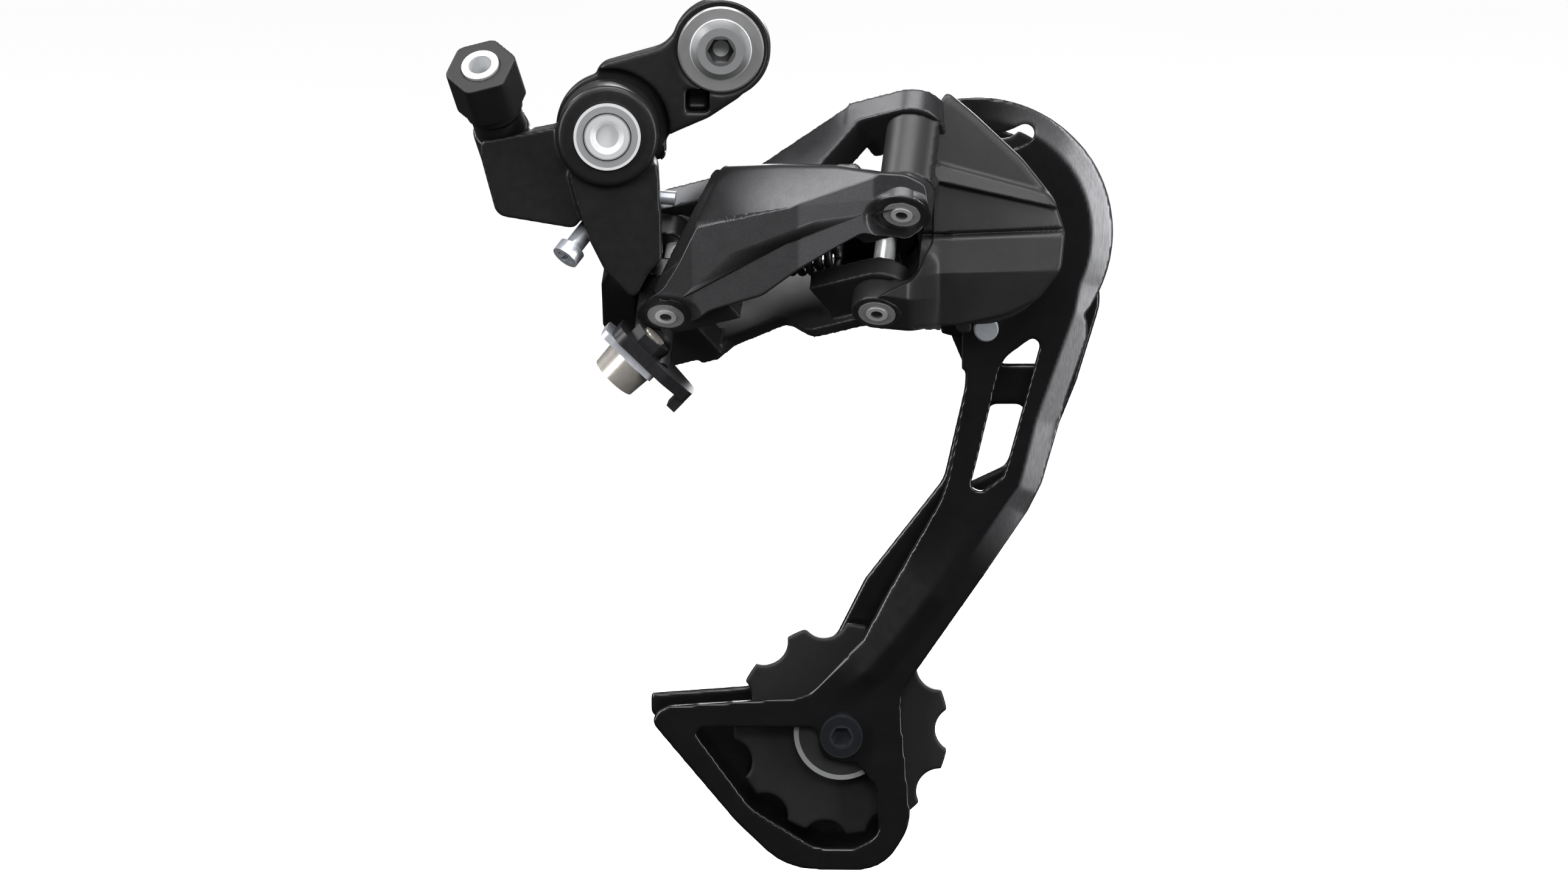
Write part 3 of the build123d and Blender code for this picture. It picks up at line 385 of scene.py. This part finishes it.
def tucked(points, face, inside, room=1.2):
    """Draws the points that stand proud of a face back behind it, where inside says they lie under it."""
    across, depth, up = points.T / MM
    behind = np.maximum(depth, face(across, up) + room)
    moved = np.where(inside(across, depth, up), behind, depth)
    return np.stack([across, moved, up], 1) * MM


def faced_shell(name, edge, middles, face, back):
    """A plate whose outboard face is face(across, up): rings shrink from its edge to a line of middles,
    and its back follows the face at that distance, or is flat where back is a level."""
    inset = np.concatenate([[0, 0, 0.006, 0.018, 0.036], np.linspace(0.06, 0.995, 100)])
    spread = edge[None] + (middles - edge)[None] * inset[:, None, None]
    depth = face(spread[..., 0], spread[..., 1])
    roll = np.array([1.0, 0.55, 0.22, 0.06])[:, None]
    depth[1:5] = depth[1:5] + 0.9 * roll
    depth[0] = back(depth[1])
    front = np.stack([spread[..., 0], depth, spread[..., 1]], -1)
    behind = np.stack([spread[::-8, :, 0], back(depth[::-8]), spread[::-8, :, 1]], -1)[:-1]
    return closed_grid(name, np.concatenate([behind, front]) * MM)


link_edge = along_outline(cover_outline, 420, 3)
spine_run = spine[-1] - spine[0]
spine_share = np.clip((link_edge - spine[0]) @ spine_run / (spine_run @ spine_run), 0, 1)
nearest = spine[0] + spine_run * spine_share[:, None]
nearest[:, 1] = np.interp(nearest[:, 0], spine[:, 0], spine[:, 1])
link_cover = faced_shell(
    "link_cover", link_edge, nearest, folded_depth, lambda depth: depth + cover_thickness
)
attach(link_cover, "outer_link")
dress(link_cover, graphite)


def under_link_cover(across, depth, up):
    """Between the two lobes and below the upper arms, clear of both outer pins' bosses."""
    boss_reach, arms_level = 6.7, 22
    offset = np.stack([across, depth, up], 1) - pin_foot / MM
    along, level = offset @ link_along, offset @ pin_along
    rear_clear, front_clear = (
        np.linalg.norm(np.cross(offset - far * link_along, pin_along), axis=1) > boss_reach
        for far in (0, link_span)
    )
    return rear_clear & front_clear & (along > -3) & (along < 56) & (level < arms_level)


link_skin = even_skin(
    "outer_link", 0.38 * MM, 3, lambda points: tucked(points, folded_depth, under_link_cover)
)
dress(link_skin, graphite)

# ---------------------------------------------------------------- inner link and front knuckle
# Die-cast aluminium in a flatter, greyer paint than the rear parts. The knuckle's round housing holds
# the cage's spring, and its bosses carry the two front pins.
matte_black = material(
    "matte_black_casting",
    lambda p: p.grain(5 * MM).mixed((0.010, 0.010, 0.0105), (0.017, 0.017, 0.0175)),
    lambda p: 0.40 + 0.10 * p.grain(1.2 * MM, 4.0),
    bump=lambda p: p.grain(0.3 * MM, 3.0),
    bump_depth=0.010 * MM,
    sheen=0.4,
)
dress(even_skin("inner_link", casting_cell, 3), matte_black)

# ---------------------------------------------------------------- front knuckle's faceted face
# The outboard face of the front knuckle: a raised lip sweeps across it, with a sunk facet under the lip
# and a bulging leaf below that runs out to the lower pin's boss.
face_outline = np.array([
    (45.6, -12.7), (48.2, -8.6), (54.1, -13.5), (64.3, -23.0), (71.1, -31.6), (73.4, -38.4),
    (72.6, -46.1), (67.7, -53.0), (60.9, -56.4), (50.7, -58.7), (40.6, -59.4), (32.1, -58.7),
    (29.2, -55.6), (29.5, -53.0), (35.5, -49.6), (41.4, -47.0), (45.1, -40.1), (45.1, -29.8),
])
face_middle = np.array([50.0, -46.0])
face_back = -11.0
lower_ring = np.array([33.2, -21.9, -55.0])


def stepped_depth(across, up):
    """How far outboard the face stands: straight ramps between creases, each crease a line across it."""
    span = across - 43
    creases = [
        (-8.0 + 0 * span, -12.6),
        (-22.5 - 0.27 * span, -14.6),
        (-23.1 - 0.27 * span, -15.9),
        (-26.6 - 0.22 * span, -16.9),
        (-27.4 - 0.21 * span, -15.3),
        (-38.4 + 0.04 * span, -16.1),
        (-39.0 + 0.04 * span, -14.8),
        (-40.0 + 0.04 * span, -16.4),
        (-47.0 + 0.02 * span, -17.4),
        (-60.0 + 0 * span, -13.4),
    ]
    depth = np.full_like(across, creases[0][1])
    for (top, before), (bottom, after) in zip(creases, creases[1:]):
        depth += (after - before) * np.clip((top - up) / (top - bottom), 0, 1)
    toward_pin = np.clip((47 - across) / 8, 0, 1) * np.clip((-40 - up) / 5, 0, 1)
    tilt = (pin_along[0] * (across - lower_ring[0]) + pin_along[2] * (up - lower_ring[2])) / pin_along[1]
    lobe = np.clip(lower_ring[1] + 0.35 - tilt, -26.5, -15.0)
    smooth = toward_pin * toward_pin * (3 - 2 * toward_pin)
    return depth + smooth * (lobe - depth)


edge = along_outline(face_outline, 360, 3)
cover = faced_shell("knuckle_face", edge, np.broadcast_to(face_middle, edge.shape), stepped_depth,
                    lambda depth: np.full_like(depth, face_back))
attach(cover, "p_knuckle")
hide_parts("p_knuckle_cover")
dress(cover, matte_black)


def under_face(across, depth, up):
    """Inside the face's outline and clear of the upper pin's boss."""
    offset = np.stack([across, depth, up], 1) - upper_ring
    from_upper = np.linalg.norm(np.cross(offset, pin_along), axis=1)
    from_lower = np.linalg.norm(np.cross(offset + upper_ring - lower_ring, pin_along), axis=1)
    under_facets = (across > 41.8) & (across < 71) & (up < -12) & (from_upper > 7.0)
    under_lobe = (across > 34) & (up < -45.5) & (from_lower > 5.6)
    return (under_facets | under_lobe) & (up > -58.5) & (depth < -12)


knuckle_skin = even_skin(
    "p_knuckle", casting_cell, 3, lambda points: tucked(points, stepped_depth, under_face)
)
dress(knuckle_skin, matte_black)

# ---------------------------------------------------------------- cage plates
# Two pressed steel plates in gloss black. The outer one's front edge is pressed back in a narrow bevel
# that is left bare and brushed, and its arm is folded along a crease down to the lower pulley.
rim_width = 5.0
rim_drop = 2.2
housing_middle = np.array([55.0, -41.5])
rim_radius = 29.7
rim_turn = np.radians(np.linspace(92, -24, 36))
rim_top = housing_middle + rim_radius * np.stack([np.cos(rim_turn), np.sin(rim_turn)], 1)
rim_side = np.array([
    (80.9, -60.0), (75.3, -76.1), (72.7, -83.5), (69.9, -95.2), (68.8, -99.0), (65.8, -103.2), (56.6, -116.7),
])
rim_line = np.concatenate([rim_top, rim_side])


def beside(points, line):
    """For each point, seen from outboard: its distance from the nearest stretch of a line, its place along
    the line counted in stretches, and its side, which is below zero to the right of the line's run."""
    flat = points[:, (0, 2)] / MM
    best = np.full(len(flat), np.inf)
    place = np.zeros(len(flat))
    side = np.zeros(len(flat))
    for index, (start, end) in enumerate(zip(line, line[1:])):
        run, offset = end - start, flat - start
        share = np.clip(offset @ run / (run @ run), 0, 1)
        gap = np.linalg.norm(offset - share[:, None] * run, axis=1)
        nearer = gap < best
        place = np.where(nearer, index + share, place)
        side = np.where(nearer, offset[:, 1] * run[0] - offset[:, 0] * run[1], side)
        best = np.where(nearer, gap, best)
    return best, place, side


def rim_share(points):
    """How much of the bevel each point takes: 1 at the plate's front edge, 0 from the crease inwards,
    and how bright it is there. Both fade out at the two ends of the edge."""
    gap, place, _ = beside(points, rim_line)
    fade = np.clip(place / 16, 0, 1) * np.clip(len(rim_line) - 1 - place, 0, 1)
    return np.clip(1 - gap / rim_width, 0, 1) * fade, np.clip((rim_width - gap) / 0.8, 0, 1) * fade * fade


arm_crease = np.array([(54.2, -106.0), (45.7, -120.3), (37.9, -130.5), (31.7, -137.6), (25.0, -142.5)])
crease_height = 1.3
crease_shoulder = 4.0
facet_width = 9.0
facet_drop = 1.5
facet_end = facet_width + 3


def bevelled(points):
    """Presses the front edge back by each point's share of the bevel, and folds the arm along its crease:
    the plate stands highest there, falls straight to its rear edge, and falls quickly on the front side."""
    gap, place, side = beside(points, arm_crease)
    fade = np.clip(place, 0, 1) * np.clip(len(arm_crease) - 1 - place, 0, 1)
    rear = (crease_height + facet_drop) * np.clip(gap / facet_width, 0, 1) - crease_height
    rear = np.where(gap < facet_end, rear, 0)
    front = -crease_height * np.clip(1 - gap / crease_shoulder, 0, 1)
    fold = fade * np.where(side < 0, rear, front)
    return points + (rim_drop * rim_share(points)[0] + fold)[:, None] * np.array([0, MM, 0])


def bare_rim(p):
    """1 where the bevel is bare metal, from the rim attribute."""
    return p.node("Attribute", {"attribute_name": "rim"}, out="Fac")


def brush_marks(p):
    """Fine noise drawn out along the height of the plate."""
    return p.node("Mapping", {}, {"Vector": p, "Scale": (1, 1, 0.06)}).grain(0.25 * MM, 3.0)


gloss_black = material(
    "gloss_black_plate",
    lambda p: bare_rim(p).mixed(
        p.grain(7 * MM).mixed((0.002, 0.002, 0.0025), (0.005, 0.005, 0.0055)),
        brush_marks(p).mixed((0.06, 0.06, 0.063), (0.18, 0.18, 0.187)),
    ),
    lambda p: 0.20 + 0.08 * p.grain(2 * MM, 3.0) + 0.14 * bare_rim(p),
    lambda p: 0.85 * bare_rim(p),
    bump=lambda p: p.grain(0.5 * MM, 2.0),
    bump_depth=0.004 * MM,
)
outer_plate = even_skin("cage_outer_plate", 0.5 * MM, 2, bevelled)
skin_points = np.empty(len(outer_plate.data.vertices) * 3)
outer_plate.data.vertices.foreach_get("co", skin_points)
bright = outer_plate.data.attributes.new("rim", "FLOAT", "POINT")
bright.data.foreach_set("value", rim_share(skin_points.reshape(-1, 3))[1].astype(np.float32))
dress(outer_plate, gloss_black)
dress(even_skin("cage_inner_plate", 0.5 * MM, 2), gloss_black)

# ---------------------------------------------------------------- springs
# The return spring is a close coil of hard wire across the linkage, and the cage's spring is a heavier
# one hidden in the front knuckle's housing. Both are left black from the wire's heat treatment.
spring_steel = material(
    "spring_steel",
    lambda p: p.grain(1.2 * MM).mixed((0.018, 0.018, 0.019), (0.05, 0.05, 0.052)),
    lambda p: 0.30 + 0.15 * p.grain(0.6 * MM, 3.0),
    0.6,
    bump=lambda p: p.grain(0.2 * MM, 2.0),
    bump_depth=0.004 * MM,
)


def coil(name, start, end, radius, wire, turns):
    """A closed-ended helix from start to end: a circle of wire carried round the axis, one turn a pitch."""
    start, end = np.array(start) * MM, np.array(end) * MM
    axis = (end - start) / np.linalg.norm(end - start)
    side = np.cross(axis, [0, 0, 1.0])
    side = side / np.linalg.norm(side)
    other = np.cross(axis, side)
    angle = np.linspace(0, 2 * math.pi * turns, int(turns * 40))[:, None]
    reach = np.linspace(0, 1, len(angle))[:, None]
    outward = np.cos(angle) * side + np.sin(angle) * other
    centre = start + reach * (end - start) + radius * MM * outward
    round_wire = np.linspace(0, 2 * math.pi, 12, endpoint=False)
    rings = centre[:, None] + wire / 2 * MM * (
        np.cos(round_wire)[None, :, None] * outward[:, None] + np.sin(round_wire)[None, :, None] * axis
    )
    return closed_grid(name, rings)


spring_level = 16.2
spring_end_gap = 9.4
pin_to_pin = 42.6 * link_along - 16.5 * link_outward
spring_toward = pin_to_pin / np.linalg.norm(pin_to_pin)
spring_foot = pin_foot / MM + spring_level * pin_along
spring_start = spring_foot + spring_end_gap * spring_toward
spring_tip = spring_foot + pin_to_pin - spring_end_gap * spring_toward
return_coil = coil("return_coil", spring_start, spring_tip, radius=3.4, wire=1.8, turns=12)
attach(return_coil, "outer_link")
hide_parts("return_spring")
dress(return_coil, spring_steel)

cage_coil = coil("cage_coil", (55.0, 4.0, -41.5), (55.0, -2.6, -41.5), radius=11.2, wire=1.9, turns=3)
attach(cage_coil, "p_knuckle")
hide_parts("p_spring")
dress(cage_coil, spring_steel)

# ---------------------------------------------------------------- pulleys, knob and collar
# Moulded in black nylon with a fine matt texture. The eleven-tooth pulleys ride on plain bushes, and the
# lobed knob turns on the cable's adjuster.
black_plastic = material(
    "black_plastic",
    lambda p: p.grain(3 * MM).mixed((0.004, 0.004, 0.0045), (0.008, 0.008, 0.0085)),
    lambda p: 0.45 + 0.12 * p.grain(0.8 * MM, 3.0),
    bump=lambda p: p.grain(0.18 * MM, 2.0),
    bump_depth=0.010 * MM,
    sheen=0.35,
)
for node in ("guide_pulley", "tension_pulley"):
    dress(even_skin(node, 0.34 * MM, 2), black_plastic)
dress(even_skin("adjuster_knob", 0.25 * MM, 2), black_plastic)
dress("adjuster_collar", black_plastic)

# ---------------------------------------------------------------- turned parts
# Bolts, axles, pins and rings come off a lathe, so fine rings run round each one's own axis. Some are
# plated bright, some are left grey, and some are blackened.


def round_axis(place, foot, axis):
    """How far each point lies from the line through foot along axis, in metres."""
    offset = place.node("VectorMath", {"operation": "SUBTRACT"}, {0: place, 1: tuple(foot)})
    turned = place.node("VectorMath", {"operation": "CROSS_PRODUCT"}, {0: offset, 1: tuple(axis)})
    return place.node("VectorMath", {"operation": "LENGTH"}, {0: turned}, out="Value")


def lathe_rings(place, foot, axis, pitch=0.22 * MM):
    """A wave of that pitch round the axis, with a little noise so that no two rings are alike."""
    radius = round_axis(place, foot, axis)
    return place.math("SINE", radius * (2 * math.pi / pitch) + 5 * place.grain(1.5 * MM))


band_reach = 12


def turned_metal(name, foot, axis, dark, light, roughness, metallic, bands):
    """A lathe-turned finish about one axis, from a dark to a light tone of the same metal. bands are radii
    in millimetres, each with the share of the light tone that holds from there outwards."""

    def tone(p):
        ringed = 0.5 + 0.5 * lathe_rings(p, foot, axis)
        if bands:
            stops = [(radius / band_reach, (share, share, share)) for radius, share in bands]
            reach = round_axis(p, foot, axis) * (1 / (band_reach * MM))
            ramp = p.node("ValToRGB", {"stops": stops}, {0: reach})
            ringed = ramp.math("MULTIPLY", ramp, 0.85 + 0.15 * ringed)
        return ringed.mixed(dark, light)

    return material(
        name,
        tone,
        lambda p: roughness + 0.10 * p.grain(1.0 * MM, 3.0),
        metallic,
        bump=lambda p: lathe_rings(p, foot, axis),
        bump_depth=0.003 * MM,
    )


straight_out = (0.0, 1.0, 0.0)
hanger_middle = (0.0, 0.0, 0.0)
rear_axle = (-23.9 * MM, 0.0, -16.9 * MM)
front_axle = (55.0 * MM, 0.0, -41.5 * MM)
lower_axle = (26.0 * MM, 0.0, -151.8 * MM)
bright = ((0.015, 0.015, 0.016), (0.86, 0.87, 0.88))
grey = ((0.02, 0.02, 0.02), (0.40, 0.40, 0.405))
black = ((0.008, 0.008, 0.009), (0.020, 0.020, 0.021))
blued = ((0.016, 0.017, 0.020), (0.060, 0.064, 0.074))
# The hanger bolt's darkest band, from 1.7 to 3.2 mm, is painted shade inside its hex socket.
hanger_bands_socket_shade = ((0.0, 0.9), (1.7, 0.1), (3.2, 0.30), (6.4, 0.95))
axle_bands = ((0.0, 0.85), (4.6, 0.40), (6.5, 0.95))
# Each link pin's dark centre, out to 1.25 mm, is painted shade in the hole of its riveted end.
pin_bands_hole_shade = ((0.0, 0.12), (1.25, 0.95))
plain_bands = ((0.0, 0.8), (1.0, 0.9))
for node, foot, tones, roughness, bands in (
    ("hanger_bolt", hanger_middle, bright, 0.25, hanger_bands_socket_shade),
    ("hanger_washer", hanger_middle, grey, 0.30, plain_bands),
    ("bolt_clip", hanger_middle, grey, 0.35, plain_bands),
    ("b_axle", rear_axle, bright, 0.25, axle_bands),
    ("b_axle_cap", rear_axle, bright, 0.30, axle_bands),
    ("b_bush", rear_axle, grey, 0.40, plain_bands),
    ("p_axle", front_axle, grey, 0.30, plain_bands),
    ("p_axle_clip", front_axle, grey, 0.35, plain_bands),
    ("p_bush", front_axle, grey, 0.40, plain_bands),
    ("guide_bush", front_axle, grey, 0.35, plain_bands),
    ("guide_shields", front_axle, black, 0.30, None),
    ("guide_bolt", front_axle, black, 0.28, None),
    ("tension_bush", lower_axle, grey, 0.35, plain_bands),
    ("tension_shields", lower_axle, bright, 0.30, ((0.0, 0.03), (9.3, 0.42))),
    ("tension_bolt", lower_axle, blued, 0.28, ((0.0, 0.9), (2.6, 0.35), (4.4, 0.9))),
):
    metallic = 0.55 if tones is bright else 0.8
    dress(node, turned_metal(node + "_finish", foot, straight_out, *tones, roughness, metallic, bands))

second_pin_reach = 21.5 * MM
second_pin_angle = math.radians(100.3)
pin_second = pin_foot + second_pin_reach * (
    math.cos(second_pin_angle) * pin_across
    + math.sin(second_pin_angle) * np.cross(pin_along, pin_across)
)
link_run = link_span * MM * link_along
for node, foot in (
    ("link_pin_b1", pin_foot),
    ("link_pin_b2", pin_second),
    ("link_pin_p1", pin_foot + link_run),
    ("link_pin_p2", pin_second + link_run),
):
    dress(node, turned_metal(node + "_finish", foot, pin_along, *bright, 0.25, 0.5, pin_bands_hole_shade))

bush_steel = material(
    "bush_steel",
    lambda p: p.grain(0.5 * MM, 3.0).mixed((0.24, 0.24, 0.245), (0.42, 0.42, 0.425)),
    lambda p: 0.38 + 0.1 * p.grain(0.5 * MM, 3.0),
    0.4,
    bump=lambda p: p.grain(0.25 * MM),
    bump_depth=0.006 * MM,
)
for node in ("outer_link_bushes", "inner_link_bushes", "p_knuckle_bushes"):
    dress(node, bush_steel)

# ---------------------------------------------------------------- plated screws and clamp
# Screws and the clamp's plate are zinc plated with a bluish tint. The cap bolt is nickel, which is
# warmer, and the cable's lever, stop plate and nut are blackened steel.
zinc = material(
    "zinc_plate",
    lambda p: p.grain(0.9 * MM, 3.0).mixed((0.50, 0.53, 0.58), (0.74, 0.77, 0.82)),
    lambda p: 0.26 + 0.14 * p.grain(0.7 * MM, 3.0),
    0.6,
    bump=lambda p: p.grain(0.3 * MM),
    bump_depth=0.005 * MM,
)
for node in ("b_screw", "limit_screw_high", "limit_screw_low", "cable_clamp_plate", "cage_stop_pin"):
    dress(node, zinc)

nickel = material(
    "nickel_plate",
    lambda p: p.grain(1.5 * MM).mixed((0.50, 0.47, 0.43), (0.66, 0.62, 0.57)),
    lambda p: 0.20 + 0.10 * p.grain(0.8 * MM, 3.0),
    0.7,
    bump=lambda p: p.grain(0.3 * MM),
    bump_depth=0.003 * MM,
)
dress("cable_bolt", nickel)
ferrule_foot = (-46.9 * MM, -12.0 * MM, -16.2 * MM)
ferrule_axis = (-0.187, -0.654, 0.734)
dress(
    "cable_ferrule",
    turned_metal("ferrule_finish", ferrule_foot, ferrule_axis, *bright, 0.25, 0.5, plain_bands),
)

black_steel = material(
    "black_steel",
    lambda p: p.grain(2 * MM).mixed((0.010, 0.010, 0.011), (0.022, 0.022, 0.024)),
    lambda p: 0.32 + 0.12 * p.grain(0.8 * MM, 3.0),
    0.3,
    bump=lambda p: p.grain(0.3 * MM),
    bump_depth=0.006 * MM,
)
for node in ("stop_plate", "cable_lever", "cable_nut"):
    dress(node, black_steel)
